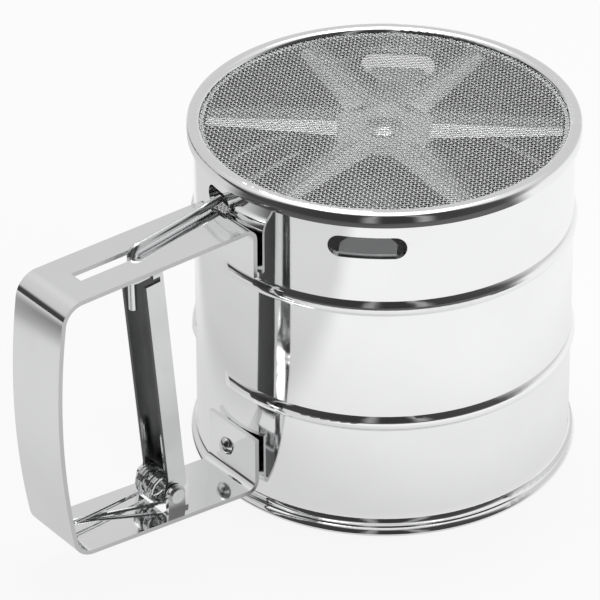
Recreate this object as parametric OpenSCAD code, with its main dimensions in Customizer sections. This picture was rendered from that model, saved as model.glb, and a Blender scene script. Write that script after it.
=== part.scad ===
// Hand-squeeze flour sifter, all stainless steel, standing on its open mouth with the screen up.
// Origin: centre of the mouth, on the plane the rolled lip stands on. +Z points to the screen.
// The handle points along -X. Dimensions are in millimetres.
// Azimuths are measured at the cup's axis from -X, where the handle is, towards +Y.

/* [Cup] */
// Height from the mouth to the crown of the screen ring
cup_h = 97.3; // [80:0.1:130]
// Outer radius of the cup wall at the mouth
mouth_r = 50.6; // [42.2:0.1:64]
// How much smaller the wall's radius is at the screen end
wall_draft = 1.2; // [0.4:0.1:3]
// Thickness of the cup's sheet
wall_t = 0.7; // [0.5:0.05:1]
// Radius of the rolled lip's tube at the mouth
lip_tube_r = 1.7; // [1.2:0.1:2.2]
// How far the lip stands out from the cup wall
lip_out = 1.6; // [1:0.1:2.5]
// Width of the flat that the lip has worn or been pressed to
lip_land = 1.15; // [0.6:0.05:1.6]

/* [Stiffening beads] */
// Height of the lower bead's centre
bead_low_z = 34.6; // [28:0.1:42]
// Distance from the screen ring's crown down to the upper bead's centre
bead_high_drop = 28.3; // [24:0.1:36]
// Radius of the roller that forms the beads
bead_tool_r = 2.9; // [2.4:0.1:3.6]
// How far a bead stands out from the wall
bead_out = 1; // [0.6:0.1:1.4]
// Azimuth of the middle of the plain stretch that both beads leave
bead_gap_az = 18; // [14:1:24]
// Angle of that plain stretch
bead_gap_angle = 26; // [20:1:32]

/* [Screen] */
// How far the ring that clamps the screen stands out from the cup's wall
ring_out = 1.6; // [1.3:0.05:2]
// Radial width of that ring
ring_w = 3.2; // [3:0.1:4.6]
// Height of the ring's outer skirt
ring_h = 4.1; // [3.4:0.1:5]
// Radius of the ring's rounded edges
ring_edge_r = 1.3; // [0.8:0.05:1.4]
// How far the screen lies below the ring's crown
screen_drop = 1.6; // [1.3:0.1:2.2]
// Thickness of the screen
screen_t = 0.5; // [0.3:0.05:0.7]
// Spacing of the screen's openings, which stand for a much finer weave
screen_pitch = 4; // [3:0.5:8]
// Width of the bars between the openings
screen_bar = 0.9; // [0.5:0.1:1.4]
// Radial width of the ledge under the screen's edge
ledge_w = 2.1; // [1.6:0.1:3]

/* [Support bridge] */
// Width of a slot in the cup wall for an end of the bridge
slot_end_w = 19.8; // [16:0.2:24]
// Height of such a slot
slot_end_h = 6; // [4.6:0.1:7]
// Distance from the crown down to the slots' centres
slot_end_drop = 10.8; // [10:0.1:14]
// Depth of the collar drawn inward round each slot
slot_end_collar = 2; // [1.2:0.1:3]
// Thickness of the bridge
bridge_t = 1; // [0.8:0.1:1.2]
// Width of the bridge
bridge_w = 10; // [8:0.5:12]
// Radius of the bridge's hub
bridge_hub_r = 9; // [8:0.5:14]

/* [Agitator] */
// Number of agitator arms
star_arms = 6; // [4:1:8]
// Rotation of the arms about the cup's axis, anticlockwise from +X
star_turn = 16.5; // [0:0.5:30]
// Radius of the agitator's hub plate
star_hub_r = 14; // [11:0.5:17]
// Gap between the tips of the arms and the ledge that the screen lies on
star_tip_gap = 0.6; // [0.5:0.1:6]
// Half of an arm's width at the hub
star_half_w = 5; // [4:0.1:6]
// Half of an arm's width at its tip
star_tip_half_w = 2.7; // [2:0.1:3.5]
// Height of an arm's ridge over its edges
star_ridge = 1.5; // [0.8:0.1:1.8]
// Thickness of the agitator's sheet
star_t = 0.8; // [0.6:0.1:1]
// Gap between the arms' ridges and the screen
star_gap = 0.7; // [0.4:0.1:1]
// Distance of the crank hole from the cup's axis
crank_r = 16; // [14:0.5:18]
// Azimuth of the crank hole with the trigger released
crank_az = 111; // [108:1:114]
// Diameter of the hub rivet's shank
hub_rivet_d = 5; // [4:0.5:6]
// Outer diameter of the spacer between bridge and agitator
spacer_d = 9; // [8:0.5:11]
// Thickness of the hub washers
washer_t = 0.5; // [0.4:0.1:0.8]

/* [Link wire] */
// Diameter of the wire that joins the trigger to the agitator
link_d = 2.2; // [1.8:0.1:2.6]
// Gap between that wire and the handle strap under it
link_gap = 0.6; // [0.5:0.1:1.8]
// How far the middle of the hole that it passes in the cup wall lies under the wire
port_drop = 1.4; // [1:0.1:1.8]
// Radius of the wire's bends at its centreline
link_bend_r = 2.6; // [2:0.1:3]
// Length of the wire's leg below the trigger's tab
link_tail = 10; // [7:0.5:12]
// Azimuth from the released wire to the middle of that hole
port_lead = 2; // [1.6:0.1:3]
// Width of that hole
port_w = 10.4; // [9:0.2:12]
// Height of that hole
port_h = 6; // [5:0.2:6.4]
// Depth of the collar drawn inward round the hole
port_collar = 2.2; // [1:0.1:3]

/* [Handle] */
// Width of the handle strap
strap_w = 19.5; // [18:0.5:26]
// Thickness of the handle strap
strap_t = 1.2; // [1:0.05:1.6]
// Distance from the crown down to the upper arm's top face
strap_drop = 10.9; // [10:0.1:13]
// Height of the lower arm's bottom face at the grip's corner
strap_low_z = 11.1; // [10:0.1:13]
// Slope of the lower arm, which falls towards the cup
arm_slope = 5.4; // [0:0.1:6]
// Distance from the trigger's pivot to the outer face of the grip
grip_reach = 36.8; // [32:0.1:44]
// Radius of the grip's bow
grip_bow_r = 200; // [150:10:400]
// Outer radius of the strap's corners
corner_r = 6.5; // [4:0.5:10]
// Outer radius of the folds that turn the arms into flanges
fold_r = 3.5; // [3:0.5:5]
// Length of the upper flange, from the upper arm's top face down
flange_high_len = 14.4; // [10:0.1:14.8]
// Height of the lower flange's upper edge
flange_low_z = 22.4; // [21:0.1:28]
// Length of the slot in the upper arm
slot_len = 17.8; // [17:0.1:20]
// Width of that slot
slot_w = 4.2; // [4:0.1:5]
// Diameter of the rivet that holds the lower flange to the cup
flange_rivet_d = 2.5; // [2:0.1:3]
// Height of that rivet
flange_rivet_z = 14.6; // [14:0.1:17]
// How far that rivet lies from the handle's middle plane
flange_rivet_y = 2.5; // [0:0.5:4]

/* [Trigger] */
// Distance from the cup's wall at the mouth to the trigger's pivot
pivot_gap = 24.6; // [20:0.1:30]
// Height of the trigger's pivot over the underside of the lower arm's corner
pivot_up = 3.5; // [3.2:0.1:4.6]
// Lean of the released trigger towards the grip
trigger_lean = 4.3; // [2:0.1:5]
// How much shorter the trigger is than the way from its pivot to the upper arm
trigger_gap = 3.4; // [2.4:0.1:6]
// Width of the trigger's channel
trigger_w = 11; // [10:0.1:13.2]
// Depth of the channel
trigger_depth = 5.4; // [5:0.1:7]
// Thickness of the trigger's sheet
trigger_t = 1; // [0.8:0.05:1.2]
// Radius of the ears round the pivot
trigger_ear_r = 2; // [1.9:0.1:3]
// Length of the tab that is bent over at the top
tab_len = 10.2; // [9.6:0.1:11]
// Width of that tab
tab_w = 8.4; // [7.6:0.2:9]
// Diameter of the pivot pin
pivot_d = 2.5; // [2:0.1:2.8]
// Thickness of the pin's heads
pivot_head_t = 0.7; // [0.5:0.1:1.2]

/* [Return spring] */
// Diameter of the spring's wire
spring_d = 1; // [0.8:0.05:1.1]
// Radius of its coils at the wire's centreline
spring_r = 3.8; // [3.6:0.1:4.5]
// Height of the middle loop over the pivot
spring_loop = 14; // [10:0.5:20]
// How far the coils' centre lies over the pin that they hang on
spring_rise = 0.7; // [0.3:0.05:0.9]
// Where the leg of the coil on the +Y side ends, across the handle
spring_far_y = 0.5; // [0:0.5:2]
// Where the leg of the coil on the -Y side ends, after it has crossed under the other
spring_near_y = 4; // [3:0.5:6]

/* [Fits] */
// Radial clearance of a pin that turns in its hole
run_fit = 0.06; // [0.02:0.01:0.1]
// Clearance between pieces that are assembled but don't turn
seat_fit = 0.05; // [0.02:0.01:0.15]
// Clearance between the trigger's sides and the ears that carry it
side_gap = 0.3; // [0.2:0.05:0.4]
// Clearance of the pivot pin inside the spring's coils, along the handle
coil_pin_gap = 0.55; // [0.5:0.05:0.9]
// Clearance between the spring's coils and the channel's web
coil_web_gap = 0.55; // [0.3:0.05:1]
// Clearance between the spring's coils and the trigger's cheeks
coil_side_gap = 0.09; // [0.05:0.01:0.4]
// Gap between the released wire's leg and the cup end of the slot in the upper arm
slot_gap = 0.5; // [0.5:0.1:1]
// Extra room for the wire in the trigger's tab, along the handle
tab_play_x = 1.6; // [1.4:0.1:2]
// Extra room for the wire in the trigger's tab, across the handle
tab_play_y = 2.2; // [1.8:0.1:2.4]

/* [Hidden] */
$fn = 96;
eps = 0.01;

polished = [0.82, 0.83, 0.84];
satin = [0.7, 0.71, 0.72];
wire_grey = [0.6, 0.61, 0.62];

// Cup and screen
wall_top_z = cup_h - 1.4;
screen_top_z = cup_h - screen_drop;
screen_z = screen_top_z - screen_t;
ledge_z = screen_z - wall_t;
lip_z = sqrt(pow(lip_tube_r, 2) - pow(lip_land / 2, 2));
lip_flare = 1.8;
bead_heights = [bead_low_z, cup_h - bead_high_drop];
bridge_azimuths = [-45, 135];
slot_end_z = cup_h - slot_end_drop;
ring_z = cup_h - ring_h;
ring_r = wall_r(cup_h) + ring_out;
ring_in_r = ring_r - ring_w;
screen_r = wall_r(screen_z) - wall_t - 2 * seat_fit;
ledge_r = wall_r(ledge_z) - wall_t - ledge_w;

// Bridge, agitator and hub, from the bottom up
bridge_z = slot_end_z - slot_end_h / 2 + seat_fit;
bridge_r = wall_r(bridge_z) - wall_t;
bridge_top_z = bridge_z + bridge_t;
rib_r = 2;
rib_h = 0.8;
star_tip_r = wall_r(cup_h) - wall_t - ledge_w - star_tip_gap;
star_ridge_z = screen_z - star_gap;
star_edge_z = star_ridge_z - star_ridge;
star_z = star_edge_z - star_t - 0.2;
star_hub_t = star_t;
spacer_top_z = star_z - washer_t;
washer_d = spacer_d + 1;
rivet_head_d = hub_rivet_d + 4.4;
rivet_head_h = 1.3;
crank_ear_r = 3.3;

// Handle
pivot_x = mouth_r + pivot_gap;
grip_x = pivot_x + grip_reach;
pivot_z = strap_low_z + pivot_up;
strap_top_z = cup_h - strap_drop;
flange_high_z = strap_top_z - flange_high_len;
bow_centre_x = grip_bow_r - grip_x;
corner_top_z = strap_top_z - corner_r;
corner_low_z = strap_low_z + corner_r / cos(arm_slope);
strap_mid_z = (corner_top_z + corner_low_z) / 2;
corner_x = bow_centre_x - sqrt(pow(grip_bow_r - corner_r, 2) - pow(corner_top_z - strap_mid_z, 2));
fold_top_z = strap_top_z - fold_r;
// the flanges follow the slant of the cup's wall, and the lower fold meets both wall and lower arm
wall_slant = wall_draft / cup_h;
wall_angle = atan(wall_slant);
fold_out = (seat_fit + fold_r) / cos(wall_angle);
fold_low_z = (arm_low_z(-mouth_r - fold_out) + fold_r / cos(arm_slope)) / (1 + tan(arm_slope) * wall_slant);
pivot_arm_z = arm_top_z(-pivot_x);
lug_in_y = trigger_w / 2 + side_gap;
lug_out_y = lug_in_y + strap_t;
lug_r = 2.7;
lug_half_w = 3.6;

// Spring: its coils hang on the pivot pin, a little behind and above it
spring_back = spring_r - spring_d / 2 - pivot_d / 2 - coil_pin_gap;
spring_x = -pivot_x - spring_back;
spring_pitch = spring_d * 1.03;
spring_in_y = spring_d * 0.56;
spring_room = trigger_w / 2 - trigger_t - coil_side_gap - spring_d / 2 - spring_in_y;
spring_turns = floor(spring_room / spring_pitch - 0.25 + eps);
spring_out_y = spring_in_y + (spring_turns + 0.25) * spring_pitch;
spring_leg_x = corner_x + 1.2;
spring_sides = 8;
spring_steps = 16;
spring_clear = 0.03;
spring_cross = spring_d * 1.35;
leg_bend_x = 8;
leg_bend_part = 0.28;

// Trigger, in its own frame: origin at the pivot, +Z along the channel, -X towards the grip
trigger_len = strap_top_z - strap_t - pivot_z - trigger_gap;
trigger_web_x = spring_r + spring_d / 2 - spring_back + coil_web_gap + trigger_t;
tab_hole_x = -1.6;
tab_mid_z = trigger_len - trigger_t / 2;
flange_edge_x = trigger_web_x - trigger_depth;
trigger_foot_z = 0.8;
cheek_low_z = -3;
cheek_top_z = trigger_len - trigger_t - 1.5;
tab_root = 3;

// Link wire
link_z = strap_top_z + link_gap + link_d / 2;
port_z = link_z - port_drop;
crank_x = -crank_r * cos(crank_az);
crank_y = crank_r * sin(crank_az);
hook_x = -pivot_x + tab_hole_x * cos(trigger_lean) - tab_mid_z * sin(trigger_lean);
hook_y = -0.53;
link_run = norm([crank_x - hook_x, crank_y - hook_y]);
link_angle = atan2(crank_y - hook_y, crank_x - hook_x);
link_top_z = star_z + star_hub_t + 1.5;
wire_wall_y = hook_y - (hook_x + wall_r(link_z)) * tan(link_angle);
port_az = asin(wire_wall_y / wall_r(link_z)) + port_lead;
link_low_z = pivot_z + tab_mid_z * cos(trigger_lean) - link_tail;

// Slot in the strap: its cup end just clears the wire's leg at rest
slot_end_x = hook_x + link_d / 2 + slot_gap;

function wall_r(z) = mouth_r - wall_draft * z / cup_h;
function fold_x(z) = -wall_r(z) - fold_out;
function arm_low_z(x) = strap_low_z - (x - corner_x) * tan(arm_slope);
function arm_top_z(x) = arm_low_z(x) + strap_t / cos(arm_slope);

// Places children at an azimuth round the cup, with +X pointing outward
module at_azimuth(az) {
    rotate([0, 0, 180 - az])
        children();
}

// A bar with round ends, its length along X
module obround(length, width) {
    square([length - width, width], center = true);
    for (side = [-1, 1])
        translate([side * (length - width) / 2, 0])
            circle(d = width);
}

// A shape drawn in the YZ plane and pushed outward along X from x0 to x1
module outward(x0, x1) {
    translate([x0, 0, 0])
        rotate([90, 0, 90])
            linear_extrude(x1 - x0)
                children();
}

// ---------------------------------------------------------------- cup

// The cup's tapered form, from z0 to z1, with its wall moved in by an inset
module cup_form(inset, z0, z1) {
    rotate_extrude()
        polygon([
            [0, z0],
            [wall_r(z0) - inset, z0],
            [wall_r(z1) - inset, z1],
            [0, z1]
        ]);
}

// A bead runs round the cup and fades out at a flat stop on each side of its plain stretch
module beads(tool_r) {
    for (z = bead_heights) {
        stop = wall_r(z) * cos(bead_gap_angle / 2) - bead_tool_r + tool_r;
        intersection() {
            rotate_extrude()
                translate([wall_r(z) - bead_tool_r + bead_out, z])
                    circle(r = tool_r);
            at_azimuth(bead_gap_az)
                translate([stop - 3 * mouth_r, -2 * mouth_r, 0])
                    cube([3 * mouth_r, 4 * mouth_r, cup_h]);
        }
    }
}

// An obround through the cup wall, its width across the azimuth
module wall_slot(az, z, width, height, x0, x1) {
    at_azimuth(az)
        translate([0, 0, z])
            outward(x0, x1)
                obround(width, height);
}

// The collar that is drawn inward round such an opening
module wall_collar(az, z, width, height, depth) {
    intersection() {
        wall_slot(az, z, width + 2 * wall_t, height + 2 * wall_t, wall_r(z) - wall_t - depth, mouth_r);
        cup_form(wall_t / 2, 0, wall_top_z);
    }
}

// Section of the plain wall with its rolled lip, and the ledge that the screen's edge lies on
module cup_section() {
    difference() {
        union() {
            polygon([
                [ledge_r, lip_z],
                [wall_r(lip_z), lip_z],
                [wall_r(wall_top_z), wall_top_z],
                [ledge_r, wall_top_z]
            ]);
            translate([mouth_r + lip_out - lip_tube_r, lip_z])
                circle(r = lip_tube_r);
            translate([mouth_r - wall_t, lip_z])
                square([wall_t + lip_out * 0.62, lip_tube_r + lip_flare]);
        }
        // the hollow that turns the wall outward into the lip
        translate([mouth_r + lip_flare - 0.05, lip_z + lip_tube_r + lip_flare])
            circle(r = lip_flare);
        polygon([
            [0, -1],
            [wall_r(-1) - wall_t, -1],
            [wall_r(wall_top_z + 1) - wall_t, wall_top_z + 1],
            [0, wall_top_z + 1]
        ]);
        translate([0, -5])
            square([mouth_r * 2, 5]);
    }
    translate([ledge_r, ledge_z])
        square([ledge_w + wall_t / 2, wall_t]);
}

module cup_body() {
    color(polished)
        difference() {
            union() {
                rotate_extrude()
                    cup_section();
                difference() {
                    beads(bead_tool_r);
                    cup_form(wall_t / 2, -1, cup_h);
                }
                wall_collar(port_az, port_z, port_w, port_h, port_collar);
                for (az = bridge_azimuths)
                    wall_collar(az, slot_end_z, slot_end_w, slot_end_h, slot_end_collar);
            }
            beads(bead_tool_r - wall_t);
            wall_slot(port_az, port_z, port_w, port_h, mouth_r / 2, mouth_r + 4);
            for (az = bridge_azimuths)
                wall_slot(az, slot_end_z, slot_end_w, slot_end_h, mouth_r / 2, mouth_r + 4);
            flange_rivet_hole();
        }
}

module flange_rivet_hole() {
    translate([-mouth_r - 5, flange_rivet_y, flange_rivet_z])
        rotate([0, 90, 0])
            cylinder(d = flange_rivet_d + 2 * seat_fit, h = 12);
}

// ---------------------------------------------------------------- screen

// Section of the clamping ring: a cap with a groove for the cup's edge
module ring_section() {
    groove_in_r = wall_r(wall_top_z) - wall_t - seat_fit;
    groove_out_r = wall_r(ring_z) + seat_fit;
    difference() {
        union() {
            translate([ring_in_r, ring_z])
                square([ring_w, ring_h - ring_edge_r]);
            translate([ring_in_r + ring_edge_r, ring_z])
                square([ring_w - 2 * ring_edge_r, ring_h]);
            for (x = [ring_in_r + ring_edge_r, ring_r - ring_edge_r])
                translate([x, cup_h - ring_edge_r])
                    circle(r = ring_edge_r);
        }
        translate([groove_in_r, ring_z - 1])
            square([groove_out_r - groove_in_r, wall_top_z + seat_fit - ring_z + 1]);
        translate([0, ring_z - 1])
            square([groove_in_r + eps, screen_top_z - ring_z + 1]);
    }
}

module screen_ring() {
    color(polished)
        rotate_extrude()
            ring_section();
}

module mesh_screen() {
    hole = screen_pitch - screen_bar;
    reach = ring_in_r - screen_bar;
    count = ceil(screen_r / screen_pitch);
    color(wire_grey)
        translate([0, 0, screen_z])
            linear_extrude(screen_t)
                difference() {
                    circle(r = screen_r);
                    for (i = [-count : count], j = [-count : count])
                        if (norm([abs(i) * screen_pitch + hole / 2, abs(j) * screen_pitch + hole / 2]) < reach)
                            translate([i * screen_pitch, j * screen_pitch])
                                square(hole, center = true);
                }
}

// ---------------------------------------------------------------- bridge

// The bridge from above, its ends widened into the tabs that lie in the wall's slots
module bridge_outline() {
    // a tab lies on the flat of its slot's lower edge
    tab_half_w = (slot_end_w - slot_end_h) / 2 + 0.3;
    shoulder_r = wall_r(bridge_z) - wall_t - slot_end_collar - 3;
    circle(r = bridge_hub_r);
    for (az = bridge_azimuths)
        rotate([0, 0, 180 - az])
            polygon([
                [0, -bridge_w / 2],
                [shoulder_r - 3, -bridge_w / 2],
                [shoulder_r, -tab_half_w],
                [bridge_r + 2, -tab_half_w],
                [bridge_r + 2, tab_half_w],
                [shoulder_r, tab_half_w],
                [shoulder_r - 3, bridge_w / 2],
                [0, bridge_w / 2]
            ]);
}

// Half-round ribs along the bridge
module bridge_ribs(r) {
    rib_from = spacer_d / 2 + 3;
    rib_to = wall_r(bridge_z) - 12;
    for (az = bridge_azimuths)
        at_azimuth(az)
            translate([rib_from, 0, bridge_top_z - rib_r + rib_h])
                rotate([0, 90, 0])
                    cylinder(r = r, h = rib_to - rib_from);
}

module support_bridge() {
    color(satin)
        difference() {
            union() {
                translate([0, 0, bridge_z])
                    linear_extrude(bridge_t)
                        intersection() {
                            bridge_outline();
                            circle(r = bridge_r);
                        }
                intersection() {
                    bridge_ribs(rib_r);
                    translate([0, 0, bridge_z])
                        cylinder(r = cup_h, h = bridge_t + rib_h);
                }
            }
            bridge_ribs(rib_r - bridge_t + 0.1);
            hub_bore(seat_fit);
        }
}

// ---------------------------------------------------------------- agitator and hub

module hub_bore(clearance) {
    cylinder(d = hub_rivet_d + 2 * clearance, h = cup_h);
}

// An arm: a folded strip with its ridge upward, tapering towards its tip
module star_arm() {
    root_r = star_hub_r - 2;
    fold_t = star_t / cos(atan(star_ridge / star_half_w));
    intersection() {
        outward(root_r, star_tip_r + 1)
            polygon([
                [-star_half_w, star_edge_z],
                [0, star_ridge_z],
                [star_half_w, star_edge_z],
                [star_half_w, star_edge_z - fold_t],
                [0, star_ridge_z - fold_t],
                [-star_half_w, star_edge_z - fold_t]
            ]);
        translate([0, 0, star_z])
            linear_extrude(cup_h - star_z)
                intersection() {
                    polygon([
                        [root_r - 1, -star_half_w],
                        [root_r - 1, star_half_w],
                        [star_tip_r, star_tip_half_w],
                        [star_tip_r, -star_tip_half_w]
                    ]);
                    circle(r = star_tip_r);
                }
    }
}

module agitator_star() {
    color(satin)
        difference() {
            union() {
                translate([0, 0, star_z])
                    linear_extrude(star_hub_t) {
                        circle(r = star_hub_r);
                        translate([crank_x, crank_y])
                            circle(r = crank_ear_r);
                        rotate([0, 0, 180 - crank_az])
                            translate([0, -crank_ear_r])
                                square([crank_r, 2 * crank_ear_r]);
                    }
                for (i = [0 : star_arms - 1])
                    rotate([0, 0, star_turn + i * 360 / star_arms])
                        star_arm();
            }
            hub_bore(run_fit);
            translate([crank_x, crank_y, star_z - 1])
                cylinder(d = link_d + 2 * run_fit, h = 5);
            // room for the upper washer and the rivet's head between the arms
            translate([0, 0, star_z + star_hub_t])
                cylinder(d = max(washer_d, rivet_head_d) + 1, h = 5);
        }
}

// A rivet's round head, standing on z = 0
module dome_head(diameter, height) {
    ball_r = (pow(diameter / 2, 2) + pow(height, 2)) / (2 * height);
    intersection() {
        translate([0, 0, height - ball_r])
            sphere(r = ball_r);
        cylinder(d = diameter + 1, h = height + 1);
    }
}

module hub_rivet() {
    head_z = star_z + star_hub_t + washer_t;
    color(polished) {
        translate([0, 0, bridge_z - eps])
            cylinder(d = hub_rivet_d, h = head_z - bridge_z + 2 * eps);
        translate([0, 0, head_z])
            dome_head(rivet_head_d, rivet_head_h);
        translate([0, 0, bridge_z])
            mirror([0, 0, 1])
                dome_head(rivet_head_d, rivet_head_h);
    }
}

module hub_ring(outer_d, z, h) {
    translate([0, 0, z])
        linear_extrude(h)
            difference() {
                circle(d = outer_d);
                circle(d = hub_rivet_d + 2 * seat_fit);
            }
}

module hub_spacer() {
    color(satin)
        hub_ring(spacer_d, bridge_top_z, spacer_top_z - bridge_top_z);
}

module hub_washer_upper() {
    color(polished)
        hub_ring(washer_d, star_z + star_hub_t, washer_t);
}

module hub_washer_lower() {
    color(polished)
        hub_ring(washer_d, spacer_top_z, washer_t);
}

// ---------------------------------------------------------------- link wire

// A straight run with a quarter bend at its end; the wire leaves along +Z
module wire_leg(run, leg) {
    rotate([0, 90, 0])
        cylinder(d = link_d, h = run - link_bend_r);
    translate([run - link_bend_r, 0, link_bend_r])
        rotate([90, 0, 0])
            rotate_extrude(angle = 90, start = 270)
                translate([link_bend_r, 0])
                    circle(d = link_d);
    translate([run, 0, link_bend_r])
        cylinder(d = link_d, h = leg - link_bend_r);
}

module link_wire() {
    half = link_run / 2;
    color(wire_grey)
        translate([(hook_x + crank_x) / 2, (hook_y + crank_y) / 2, link_z])
            rotate([0, 0, link_angle]) {
                wire_leg(half, link_top_z - link_z);
                rotate([180, 0, 180])
                    wire_leg(half, link_z - link_low_z);
            }
}

// ---------------------------------------------------------------- handle

// Side view of the solid that the strap goes round, moved in by an inset
module strap_region(inset) {
    corner = corner_r - inset;
    fold = fold_r - inset;
    fold_top = [fold_x(fold_top_z), fold_top_z];
    fold_low = [fold_x(fold_low_z), fold_low_z];
    down = [-sin(arm_slope), -cos(arm_slope)];
    inward = [cos(wall_angle), -sin(wall_angle)];
    reach = (grip_bow_r + 6) / (grip_bow_r - corner_r);
    far_x = bow_centre_x + (corner_x - bow_centre_x) * reach;
    far_dz = (corner_top_z - strap_mid_z) * reach;
    polygon([
        [corner_x, corner_low_z],
        [corner_x, corner_low_z] + corner * down,
        fold_low + fold * down,
        fold_low + fold * inward,
        fold_top + fold * inward,
        fold_top + [0, fold],
        [corner_x, corner_top_z + corner]
    ]);
    for (z = [corner_top_z, corner_low_z])
        translate([corner_x, z])
            circle(r = corner);
    for (centre = [fold_top, fold_low])
        translate(centre)
            circle(r = fold);
    intersection() {
        translate([bow_centre_x, strap_mid_z])
            circle(r = grip_bow_r - inset);
        polygon([
            [corner_x, corner_low_z],
            [far_x, strap_mid_z - far_dz],
            [far_x, strap_mid_z + far_dz],
            [corner_x, corner_top_z]
        ]);
    }
}

// The strap goes all the way round but for the stretch of wall between its two flanges
module strap_section() {
    difference() {
        strap_region(0);
        strap_region(strap_t);
        translate([fold_x(fold_low_z), flange_low_z])
            square([2 * fold_r, flange_high_z - flange_low_z]);
    }
}

// Upright lugs pressed out of the lower arm, one on each side of the trigger
module pivot_lugs() {
    for (side = [-1, 1])
        translate([-pivot_x, side * (lug_in_y + lug_out_y) / 2 + strap_t / 2, 0])
            rotate([90, 0, 0])
                linear_extrude(strap_t) {
                    translate([0, pivot_z])
                        circle(r = lug_r);
                    translate([-lug_r, pivot_arm_z - strap_t / 2])
                        square([2 * lug_r, pivot_z - pivot_arm_z + strap_t / 2]);
                    translate([-lug_half_w, pivot_arm_z - strap_t / 2])
                        square([2 * lug_half_w, strap_t]);
                }
}

module handle_strap() {
    slot_x = slot_end_x - slot_len;
    color(polished)
        difference() {
            union() {
                rotate([90, 0, 0])
                    translate([0, 0, -strap_w / 2])
                        linear_extrude(strap_w)
                            strap_section();
                pivot_lugs();
            }
            translate([slot_x, -slot_w / 2, strap_mid_z])
                cube([slot_len, slot_w, strap_top_z]);
            // window that the lugs were pressed out of
            translate([-pivot_x - lug_half_w, -lug_in_y, pivot_arm_z - 2 * strap_t])
                cube([2 * lug_half_w, 2 * lug_in_y, 3 * strap_t]);
            translate([-pivot_x, strap_w / 2, pivot_z])
                rotate([90, 0, 0])
                    cylinder(d = pivot_d + 2 * seat_fit, h = strap_w);
            flange_rivet_hole();
        }
}

module flange_rivet() {
    outer_x = -wall_r(flange_rivet_z) - strap_t - 2 * seat_fit;
    inner_r = wall_r(flange_rivet_z) - wall_t;
    head_edge_y = flange_rivet_y + flange_rivet_d * 0.85;
    curve = inner_r - sqrt(pow(inner_r, 2) - pow(head_edge_y, 2));
    inner_x = -inner_r + max(0.25, curve + 0.03);
    color(polished)
        translate([0, flange_rivet_y, flange_rivet_z])
            rotate([0, 90, 0]) {
                translate([0, 0, outer_x - eps])
                    cylinder(d = flange_rivet_d, h = inner_x - outer_x + 2 * eps);
                translate([0, 0, outer_x])
                    mirror([0, 0, 1])
                        dome_head(flange_rivet_d * 2, 1.7);
                translate([0, 0, inner_x])
                    cylinder(d = flange_rivet_d * 1.7, h = 0.8);
            }
}

// ---------------------------------------------------------------- trigger

// Side view of a trigger cheek, X towards the cup and Y up the channel
module cheek_outline() {
    circle(r = trigger_ear_r);
    polygon([
        [-trigger_t, cheek_low_z],
        [trigger_web_x, trigger_foot_z],
        [trigger_web_x, cheek_top_z],
        [flange_edge_x, cheek_top_z],
        [flange_edge_x, trigger_ear_r * 2.4],
        [-trigger_ear_r, 0]
    ]);
}

module trigger_lever() {
    color(polished)
        translate([-pivot_x, 0, pivot_z])
            rotate([0, -trigger_lean, 0])
                difference() {
                    union() {
                        for (side = [-1, 1])
                            translate([0, side * (trigger_w - trigger_t) / 2 + trigger_t / 2, 0])
                                rotate([90, 0, 0])
                                    linear_extrude(trigger_t)
                                        cheek_outline();
                        translate([trigger_web_x - trigger_t, -trigger_w / 2, trigger_foot_z])
                            cube([trigger_t, trigger_w, trigger_len - trigger_foot_z]);
                        trigger_tab();
                    }
                    translate([0, trigger_w, 0])
                        rotate([90, 0, 0])
                            cylinder(d = pivot_d + 2 * run_fit, h = 2 * trigger_w);
                }
}

// The web's end, bent over towards the grip, with the hole for the link wire
module trigger_tab() {
    end_r = tab_w / 2;
    translate([0, 0, trigger_len - trigger_t])
        linear_extrude(trigger_t)
            difference() {
                union() {
                    translate([trigger_web_x - tab_root, -trigger_w / 2])
                        square([tab_root, trigger_w]);
                    translate([trigger_web_x - tab_len + end_r, -tab_w / 2])
                        square([tab_len - end_r, tab_w]);
                    translate([trigger_web_x - tab_len + end_r, 0])
                        circle(r = end_r);
                }
                translate([tab_hole_x, 0])
                    rotate(90)
                        obround(link_d + tab_play_y, link_d + tab_play_x);
            }
}

module trigger_pin() {
    color(wire_grey)
        translate([-pivot_x, 0, pivot_z])
            rotate([90, 0, 0]) {
                translate([0, 0, -lug_out_y])
                    cylinder(d = pivot_d, h = 2 * lug_out_y);
                for (side = [-1, 1])
                    translate([0, 0, side * (lug_out_y + pivot_head_t / 2)])
                        cylinder(d = pivot_d * 1.6, h = pivot_head_t, center = true);
            }
}

// ---------------------------------------------------------------- return spring

// A point on the coil: angle a from +X towards +Z, at y across the handle
function coil_point(a, y) =
    [spring_x + spring_r * cos(a), y, pivot_z + spring_rise + spring_r * sin(a)];

// A point of a leg, at x along the lower arm
function leg_point(x, y, lift) = [x, y, arm_top_z(x) + spring_d / 2 + lift];
// A point of the middle loop, which leans with the channel's web
function loop_point(part, y) = [
    spring_x + spring_r - part * spring_loop * sin(trigger_lean),
    y,
    pivot_z + spring_rise + part * spring_loop
];

// Half of the spring's centreline, from the end of a leg to the top of the middle loop
function spring_half(side, leg_y, lift) = [
    leg_point(spring_leg_x, leg_y, lift),
    leg_point(spring_leg_x + leg_bend_x, leg_y + (side * spring_out_y - leg_y) * leg_bend_part, lift),
    for (i = [0 : (spring_turns + 0.25) * spring_steps])
        coil_point(-90 + i * 360 / spring_steps, side * (spring_out_y - i * spring_pitch / spring_steps)),
    for (part = [0.3, 0.6, 0.9])
        loop_point(part, side * spring_in_y),
    loop_point(0.96, side * spring_in_y * 0.75)
];

function reversed(list) = [for (i = [len(list) - 1 : -1 : 0]) list[i]];

spring_path = concat(
    spring_half(1, spring_far_y, spring_cross),
    [loop_point(1, 0)],
    reversed(spring_half(-1, spring_near_y, spring_clear))
);

function unit(v) = v / norm(v);
function path_tangent(p, i) = unit(p[min(i + 1, len(p) - 1)] - p[max(i - 1, 0)]);

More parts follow.
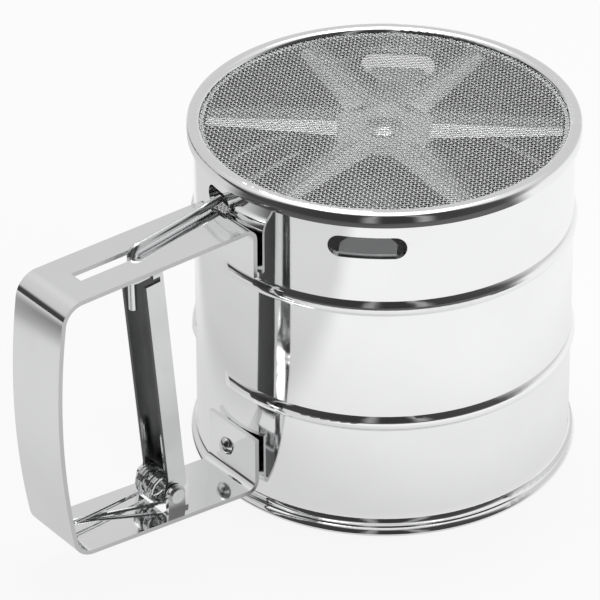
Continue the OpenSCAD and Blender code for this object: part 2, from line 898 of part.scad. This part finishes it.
// Normals carried along the path so that the wire doesn't twist
function path_normals(p, i = 0, n = [0, 1, 0], out = []) =
    i == len(p) ? out :
    let (t = path_tangent(p, i), m = unit(n - t * (n * t)))
    path_normals(p, i + 1, m, concat(out, [m]));

module wire_along(p, d, sides) {
    normals = path_normals(p);
    points = [
        for (i = [0 : len(p) - 1])
            let (t = path_tangent(p, i), n = normals[i], b = cross(t, n))
            for (k = [0 : sides - 1])
                p[i] + d / 2 * (n * cos(k * 360 / sides) + b * sin(k * 360 / sides))
    ];
    last = (len(p) - 1) * sides;
    faces = concat(
        [[for (k = [0 : sides - 1]) k]],
        [for (i = [0 : len(p) - 2], k = [0 : sides - 1])
            let (a = i * sides + k, b = i * sides + (k + 1) % sides)
            [a, a + sides, b + sides, b]],
        [[for (k = [sides - 1 : -1 : 0]) last + k]]
    );
    polyhedron(points, faces);
}

module return_spring() {
    color(wire_grey)
        wire_along(spring_path, spring_d, spring_sides);
}

cup_body();
screen_ring();
mesh_screen();
support_bridge();
agitator_star();
hub_rivet();
hub_spacer();
hub_washer_upper();
hub_washer_lower();
link_wire();
handle_strap();
flange_rivet();
trigger_lever();
trigger_pin();
return_spring();
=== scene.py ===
import math

import bmesh
import bpy
from mathutils import Matrix, Vector


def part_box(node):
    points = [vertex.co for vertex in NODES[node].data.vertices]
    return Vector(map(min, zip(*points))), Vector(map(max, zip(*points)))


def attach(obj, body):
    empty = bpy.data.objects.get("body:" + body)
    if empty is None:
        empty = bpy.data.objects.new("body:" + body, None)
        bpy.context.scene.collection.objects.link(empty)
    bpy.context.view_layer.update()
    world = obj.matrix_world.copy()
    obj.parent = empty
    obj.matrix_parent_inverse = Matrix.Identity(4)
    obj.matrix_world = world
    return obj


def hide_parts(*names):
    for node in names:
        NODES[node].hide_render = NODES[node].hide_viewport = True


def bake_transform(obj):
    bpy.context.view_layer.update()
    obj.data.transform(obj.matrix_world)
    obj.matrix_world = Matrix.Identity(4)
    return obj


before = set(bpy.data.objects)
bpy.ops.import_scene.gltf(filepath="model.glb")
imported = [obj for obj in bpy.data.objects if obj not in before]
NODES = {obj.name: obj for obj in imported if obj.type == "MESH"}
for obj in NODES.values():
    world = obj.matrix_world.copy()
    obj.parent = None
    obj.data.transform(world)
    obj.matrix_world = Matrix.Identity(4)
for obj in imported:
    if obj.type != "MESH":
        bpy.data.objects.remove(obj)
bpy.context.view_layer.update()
MM = 0.001

# ---------------------------------------------------------------- shader helpers


def new_material(name):
    mat = bpy.data.materials.new(name)
    mat.use_nodes = True
    mat.node_tree.nodes.clear()
    return mat, mat.node_tree


def add(tree, kind, **settings):
    node = tree.nodes.new(kind)
    for key, value in settings.items():
        setattr(node, key, value)
    return node


def feed(tree, socket, value):
    """Links an output into a socket, or sets a plain value on it; None leaves it alone."""
    if isinstance(value, bpy.types.NodeSocket):
        tree.links.new(value, socket)
    elif value is not None:
        socket.default_value = value


def math_node(tree, operation, a, b=None, c=None, clamp=False):
    node = add(tree, "ShaderNodeMath", operation=operation, use_clamp=clamp)
    for socket, value in zip(node.inputs, (a, b, c)):
        feed(tree, socket, value)
    return node.outputs[0]


def times(tree, a, b, plus=None, clamp=False):
    """The product of two values, with a third one added where it is given."""
    return math_node(tree, "MULTIPLY" if plus is None else "MULTIPLY_ADD", a, b, plus, clamp)


def above(tree, a, b):
    """How far a lies above b, or 0 where it lies below."""
    return math_node(tree, "MAXIMUM", math_node(tree, "SUBTRACT", a, b), 0.0)


def mix_colour(tree, blend, factor, a, b):
    node = add(tree, "ShaderNodeMix", data_type="RGBA", blend_type=blend)
    feed(tree, node.inputs["Factor"], factor)
    feed(tree, node.inputs["A"], a)
    feed(tree, node.inputs["B"], b)
    return node.outputs["Result"]


def mix_shader(tree, factor, a, b):
    node = add(tree, "ShaderNodeMixShader")
    for socket, value in zip(node.inputs, (factor, a, b)):
        tree.links.new(value, socket)
    return node.outputs[0]


def split_xyz(tree, vector):
    node = add(tree, "ShaderNodeSeparateXYZ")
    tree.links.new(vector, node.inputs[0])
    return node.outputs


def noise(tree, vector, scale, detail, roughness, distortion=0.0):
    node = add(tree, "ShaderNodeTexNoise")
    feed(tree, node.inputs["Vector"], vector)
    node.inputs["Scale"].default_value = scale
    node.inputs["Detail"].default_value = detail
    node.inputs["Roughness"].default_value = roughness
    node.inputs["Distortion"].default_value = distortion
    return node.outputs["Fac"]


def ramp(tree, value, stops):
    """A smooth ramp of greys; each stop is (position, grey level)."""
    node = add(tree, "ShaderNodeValToRGB")
    node.color_ramp.interpolation = "EASE"
    elements = node.color_ramp.elements
    while len(elements) < len(stops):
        elements.new(0.5)  # its place is set below
    for element, (position, level) in zip(elements, stops):
        element.position = position
        element.color = (level, level, level, 1.0)
    feed(tree, node.inputs["Fac"], value)
    return node.outputs["Color"]


def stretched(tree, scale):
    """Object coordinates, which are the part's own in metres, times a scale along each axis."""
    mapping = add(tree, "ShaderNodeMapping")
    mapping.inputs["Scale"].default_value = scale
    tree.links.new(add(tree, "ShaderNodeTexCoord").outputs["Object"], mapping.inputs["Vector"])
    return mapping.outputs["Vector"]


def bump(tree, height, distance, normal=None):
    node = add(tree, "ShaderNodeBump")
    node.inputs["Strength"].default_value = 1.0
    node.inputs["Distance"].default_value = distance
    feed(tree, node.inputs["Height"], height)
    feed(tree, node.inputs["Normal"], normal)
    return node.outputs[0]


# ---------------------------------------------------------------- steel

# Each noise has a scale, detail and roughness, and the smears a distortion. The grain's own scale is in
# its coordinates.
GRAIN_NOISE = (1.0, 4.0, 0.65)
SMEAR_NOISE = (55.0, 3.0, 0.55, 0.4)
WAVE_NOISE = (24.0, 1.0, 0.4)
WAVE_STRETCH = (1, 1, 0.6)
UNSTRETCHED = (1, 1, 1)

DULL_STEEP = 5.0  # a dull side begins where the normal has 1 - 1 / DULL_STEEP along its axis
DULL_ROUGHER = 0.22
CROWN_TILT = -0.10  # over a crown the surface goes by up * (CROWN_TILT + CROWN_BEND * up), in metres
CROWN_BEND = -60.0
FLARE_BEND = 55.0  # under a flare's top it goes by FLARE_BEND * down * down


def dull_and_shaded_mask(tree, axis):
    """1 on faces that look along an axis of the part, 0 on all that look well away from it."""
    normal = split_xyz(tree, add(tree, "ShaderNodeTexCoord").outputs["Normal"])
    size = math_node(tree, "ABSOLUTE", normal[axis])
    return times(tree, size, DULL_STEEP, plus=1.0 - DULL_STEEP, clamp=True)


def crown_height(tree, low):
    """Rounds an edge over from the height low upwards."""
    up = above(tree, split_xyz(tree, stretched(tree, UNSTRETCHED))["Z"], low)
    return times(tree, up, times(tree, up, CROWN_BEND, plus=CROWN_TILT))


def flare_height(tree, top):
    """Turns a wall outward from the height top downwards."""
    down = above(tree, top, split_xyz(tree, stretched(tree, UNSTRETCHED))["Z"])
    return times(tree, times(tree, down, down), FLARE_BEND)


def steel(name, tint, rough, rough_spread, grain, grain_depth, wave_depth=0.0, smudge=0.03,
          dull_and_shaded_side=None, dull_and_painted_shade=0.0, crown=None, flare=None):
    """Bare stainless steel: rolled grain along one direction, faint smears and a slight waviness.

    grain is the fineness per metre along each axis, and depths are in metres. Faces that look along
    dull_and_shaded_side, such as sheared edges or a channel's inside, are rougher, and darker by the share
    dull_and_painted_shade: on sheared edges that is their duller tone, in a channel's inside it is painted
    shade.
    crown and flare are heights on the part, as crown_height and flare_height take them.
    """
    mat, tree = new_material(name)
    shader = add(tree, "ShaderNodeBsdfPrincipled")
    shader.inputs["Metallic"].default_value = 1.0

    fine = noise(tree, stretched(tree, grain), *GRAIN_NOISE)
    smears = noise(tree, stretched(tree, UNSTRETCHED), *SMEAR_NOISE)
    waves = noise(tree, stretched(tree, WAVE_STRETCH), *WAVE_NOISE)

    # each noise has a mean of about a half, so level stays about 1 on average, and gloss about rough
    level = times(tree, smears, -2 * smudge, plus=1.0 + smudge)
    gloss = times(tree, times(tree, fine, smears), 4 * rough_spread, plus=rough - rough_spread, clamp=True)
    if dull_and_shaded_side:
        # these faces are made rougher and darker; on sheared edges the darkening is their duller tone, in
        # a channel's inside it is painted shade
        dull_and_shaded_faces = dull_and_shaded_mask(tree, dull_and_shaded_side)
        level = times(tree, level, times(tree, dull_and_shaded_faces, -dull_and_painted_shade, plus=1.0))
        gloss = times(tree, dull_and_shaded_faces, DULL_ROUGHER, plus=gloss)
    feed(tree, shader.inputs["Base Color"], mix_colour(tree, "MULTIPLY", 1.0, (*tint, 1.0), level))
    feed(tree, shader.inputs["Roughness"], gloss)

    normal = bump(tree, waves, wave_depth, bump(tree, fine, grain_depth))
    if crown is not None:
        normal = bump(tree, crown_height(tree, crown), 1.0, normal)
    if flare is not None:
        normal = bump(tree, flare_height(tree, flare), 1.0, normal)
    feed(tree, shader.inputs["Normal"], normal)

    out = add(tree, "ShaderNodeOutputMaterial")
    tree.links.new(shader.outputs[0], out.inputs["Surface"])
    return mat


FLARE_TOP = 7.0 * MM
RING_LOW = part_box("screen_ring")[0].z

MIRROR = steel("cup_polish", (0.93, 0.932, 0.935), rough=0.06, rough_spread=0.025,
               grain=(60, 60, 900), grain_depth=1.2e-6, wave_depth=1.0e-4, flare=FLARE_TOP)
RING = steel("ring_polish", (0.92, 0.922, 0.925), rough=0.08, rough_spread=0.03,
             grain=(60, 60, 900), grain_depth=1.2e-6, wave_depth=0.6e-4, crown=RING_LOW)
STRIP = steel("strip_polish", (0.92, 0.922, 0.925), rough=0.09, rough_spread=0.03,
              grain=(80, 900, 80), grain_depth=1.5e-6, wave_depth=0.7e-4, dull_and_shaded_side="Y", dull_and_painted_shade=0.35)
# The lever's faces that look along X, its channel's inside among them, are darkened to about a sixth:
# painted shade.
LEVER = steel("lever_polish_painted_shade", (0.74, 0.745, 0.75), rough=0.18, rough_spread=0.06,
              grain=(400, 400, 40), grain_depth=2.5e-6, wave_depth=0.7e-4, smudge=0.15,
              dull_and_shaded_side="X", dull_and_painted_shade=0.84)
DULL = steel("bridge_dull", (0.42, 0.425, 0.43), rough=0.34, rough_spread=0.08,
             grain=(300, 300, 300), grain_depth=2.0e-6, wave_depth=0.5e-4)
SHEET = steel("sheet_bright", (0.96, 0.962, 0.965), rough=0.42, rough_spread=0.08,
              grain=(700, 90, 700), grain_depth=2.0e-6, wave_depth=0.5e-4)
RIVET = steel("rivet_polish", (0.74, 0.745, 0.75), rough=0.14, rough_spread=0.04,
              grain=(500, 500, 500), grain_depth=1.5e-6)
DRAWN = steel("wire_bright", (0.78, 0.785, 0.79), rough=0.14, rough_spread=0.05,
              grain=(300, 1500, 1500), grain_depth=1.5e-6)
CLOTH = steel("screen_wire", (0.86, 0.865, 0.87), rough=0.20, rough_spread=0.06,
              grain=(900, 900, 900), grain_depth=1.0e-6)

FINISH = {
    "cup_body": MIRROR,
    "screen_ring": RING,
    "handle_strap": STRIP,
    "trigger_lever": LEVER,
    "support_bridge": DULL,
    "agitator_star": SHEET,
    "hub_rivet": RIVET,
    "flange_rivet": RIVET,
    "hub_spacer": SHEET,
    "hub_washer_upper": RIVET,
    "hub_washer_lower": RIVET,
    "trigger_pin": RIVET,
    "link_wire": DRAWN,
    "return_spring": DRAWN,
    "mesh_screen": CLOTH,
}
for node_name, finish in FINISH.items():
    mesh = NODES[node_name].data
    mesh.materials.clear()
    mesh.materials.append(finish)

# ---------------------------------------------------------------- woven screen

PITCH = 0.95 * MM
WIRE_R = 0.15 * MM
CRIMP = 0.13 * MM
WEAVE_TURN = math.radians(45.0)
screen_low, screen_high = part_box("mesh_screen")
SCREEN_Z = (screen_low.z + screen_high.z) / 2
SCREEN_R = 48.2 * MM
SIDES = 4
STEP = PITCH / 2
FEWEST_STEPS = 2  # to each side of a wire's middle; a shorter wire is left out


def wire_section(spin, along, offset, z):
    """Corners of a wire's section, for a place along the wire and the wire's own offset."""
    corners = []
    for q in range(SIDES):
        a = (q + 0.5) * 2 * math.pi / SIDES
        corner = spin @ Vector((along, offset + WIRE_R * math.cos(a), z + WIRE_R * math.sin(a)))
        corners.append((corner.x, corner.y, corner.z + SCREEN_Z))
    return corners


def add_wire(bm, spin, index, phase):
    """One closed wire from edge to edge of the screen, over one crossing wire and under the next."""
    offset = index * PITCH
    steps = int(math.sqrt(SCREEN_R ** 2 - offset ** 2) / STEP)
    if steps < FEWEST_STEPS:
        return
    before = None
    for k in range(-steps, steps + 1):
        along = k * STEP
        z = CRIMP * math.cos(math.pi * (along / PITCH + index + phase))
        ring = [bm.verts.new(corner) for corner in wire_section(spin, along, offset, z)]
        if before:
            for q in range(SIDES):
                r = (q + 1) % SIDES
                bm.faces.new((before[q], ring[q], ring[r], before[r]))
        else:
            bm.faces.new(ring[::-1])
        before = ring
    bm.faces.new(before)


def woven_wires(name, turn, phase):
    """One set of the cloth's parallel wires; the other set has the opposite phase."""
    bm = bmesh.new()
    spin = Matrix.Rotation(turn, 3, "Z")
    count = int(SCREEN_R / PITCH)
    for index in range(-count, count + 1):
        add_wire(bm, spin, index, phase)
    mesh = bpy.data.meshes.new(name)
    bm.normal_update()
    bmesh.ops.recalc_face_normals(bm, faces=bm.faces)
    bm.to_mesh(mesh)
    bm.free()
    for polygon in mesh.polygons:
        polygon.use_smooth = True
    mesh.materials.append(CLOTH)
    obj = bpy.data.objects.new(name, mesh)
    bpy.context.scene.collection.objects.link(obj)
    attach(obj, "cup")
    return obj


warp = woven_wires("screen_warp", WEAVE_TURN, 0.0)
woven_wires("screen_weft", WEAVE_TURN + math.pi / 2, 1.0)
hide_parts("mesh_screen")

# ---------------------------------------------------------------- return spring

# The same wire as the CAD node's, copied as it stands. On the real piece its legs stay on the strap,
# its middle loop goes with the lever, and the coils give way between them.
spring = bpy.data.objects.new("spring_wire", NODES["return_spring"].data.copy())
bpy.context.scene.collection.objects.link(spring)
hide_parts("return_spring")
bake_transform(spring)

# ---------------------------------------------------------------- floor

WHITE = (1.0, 1.0, 1.0, 1.0)
FLOOR_HALF = 4.0
CUP_R = 50.0 * MM  # under the cup the floor's colour is darkened as painted shade, and it sends out no light of its own
FLOOR_TONES = [(0.0, 0.25), (1.0, 0.86)]  # under the cup (painted shade), outside it
FLOOR_GLOW = 0.88

# The floor as the metal shows it is painted light and shade that only reflections see: a lit table
# with a painted shadow close to the cup, painted shade on the picture's left, and a painted dark end on
# the camera's side. Positions of the first two lists are shares of TABLE_SPAN, from TABLE_MIDDLE.
TABLE_SPAN = 0.4
TABLE_MIDDLE = (-0.02, 0.012)
# darker close to the cup: a painted shadow
TABLE_LIGHT = [(0.125, 0.72), (0.25, 0.88), (0.375, 0.98), (1.0, 0.95)]
# a painted dark end: far out on the camera's side, reflections see the floor nearly black
PAINTED_DARK_END = [(0.56, 1.0), (0.66, 0.05), (1.0, 0.04)]
LEFTWARD = (-8.3, 5.5)  # a tenth of a metre towards the left counts as 1
LEFT_SHADE = [(0.70, 1.0), (1.0, 0.72)]
TO_CAMERA = (-0.70, -0.71)
PAINTED_DARK_END_SIDE = [(0.0, 0.0), (0.30, 1.0)]


def distance_from(tree, flat, x, y):
    dx = math_node(tree, "SUBTRACT", flat["X"], x)
    dy = math_node(tree, "SUBTRACT", flat["Y"], y)
    return math_node(tree, "SQRT", math_node(tree, "ADD", times(tree, dx, dx), times(tree, dy, dy)))


def along(tree, flat, way):
    """How far a point of the floor lies from the middle in a given way."""
    return times(tree, flat["X"], way[0], plus=times(tree, flat["Y"], way[1]))


# Painted light and shade on the floor's glow, which only reflections see: a painted shadow near the cup,
# painted shade to the left, and a painted dark end on the camera's side.
def painted_table_reflection(tree, flat):
    share = times(tree, distance_from(tree, flat, *TABLE_MIDDLE), 1 / TABLE_SPAN)
    shade = ramp(tree, along(tree, flat, LEFTWARD), LEFT_SHADE)
    painted_lit_table = mix_colour(tree, "MULTIPLY", 1.0, ramp(tree, share, TABLE_LIGHT), shade)
    cosine = math_node(tree, "DIVIDE", along(tree, flat, TO_CAMERA), distance_from(tree, flat, 0.0, 0.0))
    painted_dark_end_side = ramp(tree, cosine, PAINTED_DARK_END_SIDE)
    return mix_colour(tree, "MULTIPLY", painted_dark_end_side, painted_lit_table, ramp(tree, share, PAINTED_DARK_END))


def floor_material():
    """Outside the cup it glows for the camera, and in reflections with painted light and shade; to all
    other light it is plain grey, and darker under the cup as painted shade.
    """
    mat, tree = new_material("floor_white")
    flat = split_xyz(tree, add(tree, "ShaderNodeTexCoord").outputs["Object"])
    outside = math_node(tree, "GREATER_THAN", distance_from(tree, flat, 0.0, 0.0), CUP_R)
    path = add(tree, "ShaderNodeLightPath").outputs
    diffuse = add(tree, "ShaderNodeBsdfDiffuse")
    # the floor's diffuse colour is dark under the cup: painted shade
    feed(tree, diffuse.inputs["Color"], ramp(tree, outside, FLOOR_TONES))
    glow = add(tree, "ShaderNodeEmission")
    # reflections see the painted light and shade, and the camera sees plain white
    colour = mix_colour(tree, "MIX", path["Is Glossy Ray"], WHITE, painted_table_reflection(tree, flat))
    feed(tree, glow.inputs["Color"], colour)
    seen = math_node(tree, "MAXIMUM", path["Is Camera Ray"], path["Is Glossy Ray"])
    glowing = times(tree, times(tree, seen, outside), FLOOR_GLOW)
    out = add(tree, "ShaderNodeOutputMaterial")
    tree.links.new(mix_shader(tree, glowing, diffuse.outputs[0], glow.outputs[0]), out.inputs["Surface"])
    return mat


floor_mesh = bpy.data.meshes.new("floor")
bm = bmesh.new()
bmesh.ops.create_grid(bm, x_segments=1, y_segments=1, size=FLOOR_HALF)
bm.to_mesh(floor_mesh)
bm.free()
floor_mesh.materials.append(floor_material())
floor = bpy.data.objects.new("floor", floor_mesh)
bpy.context.scene.collection.objects.link(floor)

# ---------------------------------------------------------------- studio

# The room is white for the camera. Reflections and light see a far half that is light and a half
# behind the camera that is dark. Stops go by the turn round the vertical, where 0 is +X, 0.25 is +Y,
# 0.5 is -X (the handle's side) and 0.75 is -Y, or by the height, where 0.5 is the horizon and 1 is
# straight up.
NEAR_HALF = [(0.0, 0.0), (0.37, 0.0), (0.46, 1.0), (0.82, 1.0), (0.92, 0.0)]
NEAR_STRIPS = [
    (0.40, 0.06), (0.600, 0.04), (0.618, 0.30), (0.636, 0.04),
    (0.680, 0.04), (0.700, 0.34), (0.720, 0.05), (0.86, 0.07),
]
NEAR_CEILING = [(0.44, 0.0), (0.95, 0.0), (1.0, 0.8)]
FAR_WALL = [(0.50, 0.90), (0.68, 0.66), (0.80, 0.64), (1.0, 1.0)]
FAR_WALL_BANDED = [(0.46, 0.3), (0.495, 0.05), (0.60, 0.05), (0.68, 0.60), (0.80, 0.64), (1.0, 1.0)]
BAND_SIDE = [(0.22, 0.0), (0.30, 1.0), (0.50, 1.0), (0.60, 0.0)]


def far_room(tree, turn, height):
    """Light walls and ceiling, with a dark band low on the wall to the camera's left."""
    plain = ramp(tree, height, FAR_WALL)
    banded = ramp(tree, height, FAR_WALL_BANDED)
    return mix_colour(tree, "MIX", ramp(tree, turn, BAND_SIDE), plain, banded)


def near_room(tree, turn, height):
    """Dark walls with two paler upright strips, under a light patch of ceiling."""
    walls = ramp(tree, turn, NEAR_STRIPS)
    return mix_colour(tree, "LIGHTEN", 1.0, walls, ramp(tree, height, NEAR_CEILING))


def studio_world():
    world = bpy.data.worlds.new("studio")
    world.use_nodes = True
    tree = world.node_tree
    tree.nodes.clear()
    direction = split_xyz(tree, add(tree, "ShaderNodeTexCoord").outputs["Generated"])
    azimuth = math_node(tree, "ARCTAN2", direction["Y"], direction["X"])
    turn = math_node(tree, "FRACT", times(tree, azimuth, 0.5 / math.pi, plus=1.0))
    height = times(tree, direction["Z"], 0.5, plus=0.5)
    room = add(tree, "ShaderNodeBackground")
    room.inputs["Strength"].default_value = 1.0
    near = ramp(tree, turn, NEAR_HALF)
    colour = mix_colour(tree, "MIX", near, far_room(tree, turn, height), near_room(tree, turn, height))
    feed(tree, room.inputs["Color"], colour)
    white = add(tree, "ShaderNodeBackground")
    white.inputs["Color"].default_value = WHITE
    white.inputs["Strength"].default_value = 1.0
    camera_ray = add(tree, "ShaderNodeLightPath").outputs["Is Camera Ray"]
    out = add(tree, "ShaderNodeOutputWorld")
    tree.links.new(mix_shader(tree, camera_ray, room.outputs[0], white.outputs[0]), out.inputs["Surface"])
    return world


bpy.context.scene.world = studio_world()

# ---------------------------------------------------------------- lamps

LIT_POINT = (0, 0, 0.05)


def soft_box(name, place, size, power):
    """A rectangular lamp that faces LIT_POINT; size is its width and height."""
    light = bpy.data.lights.new(name, "AREA")
    light.shape = "RECTANGLE"
    light.size, light.size_y = size
    light.energy = power
    obj = bpy.data.objects.new(name, light)
    obj.location = place
    obj.rotation_euler = (Vector(LIT_POINT) - Vector(place)).to_track_quat("-Z", "Y").to_euler()
    bpy.context.scene.collection.objects.link(obj)
    return obj


key = soft_box("key", place=(0.35, -0.95, 0.95), size=(0.6, 0.9), power=5.0)
key.visible_glossy = False
soft_box("overhead", place=(0.15, 0.20, 1.0), size=(0.6, 0.6), power=2.4)

# ---------------------------------------------------------------- camera

# fitted to the rims, beads and handle in the photograph
EYE = Vector((-0.4674, -0.5505, 0.4961))
LOOK = Vector((0.5273, 0.6612, -0.53364)).normalized()
RIGHT = Vector((0.77825, -0.62789, -0.00897))
RIGHT = (RIGHT - LOOK * RIGHT.dot(LOOK)).normalized()
UP = RIGHT.cross(LOOK)
FOCAL_PX = 3197.25
FRAME_PX = 600.0
SENSOR = 36.0
CLIP_START = 0.01

camera_data = bpy.data.cameras.new("camera")
camera_data.sensor_width = SENSOR
camera_data.lens = FOCAL_PX / FRAME_PX * SENSOR
camera_data.clip_start = CLIP_START
camera = bpy.data.objects.new("camera", camera_data)
turned = Matrix((RIGHT, UP, -LOOK)).transposed().to_4x4()
camera.matrix_world = Matrix.Translation(EYE) @ turned
bpy.context.scene.collection.objects.link(camera)
bpy.context.scene.camera = camera
bpy.context.scene.view_settings.view_transform = "Standard"

bpy.context.view_layer.update()
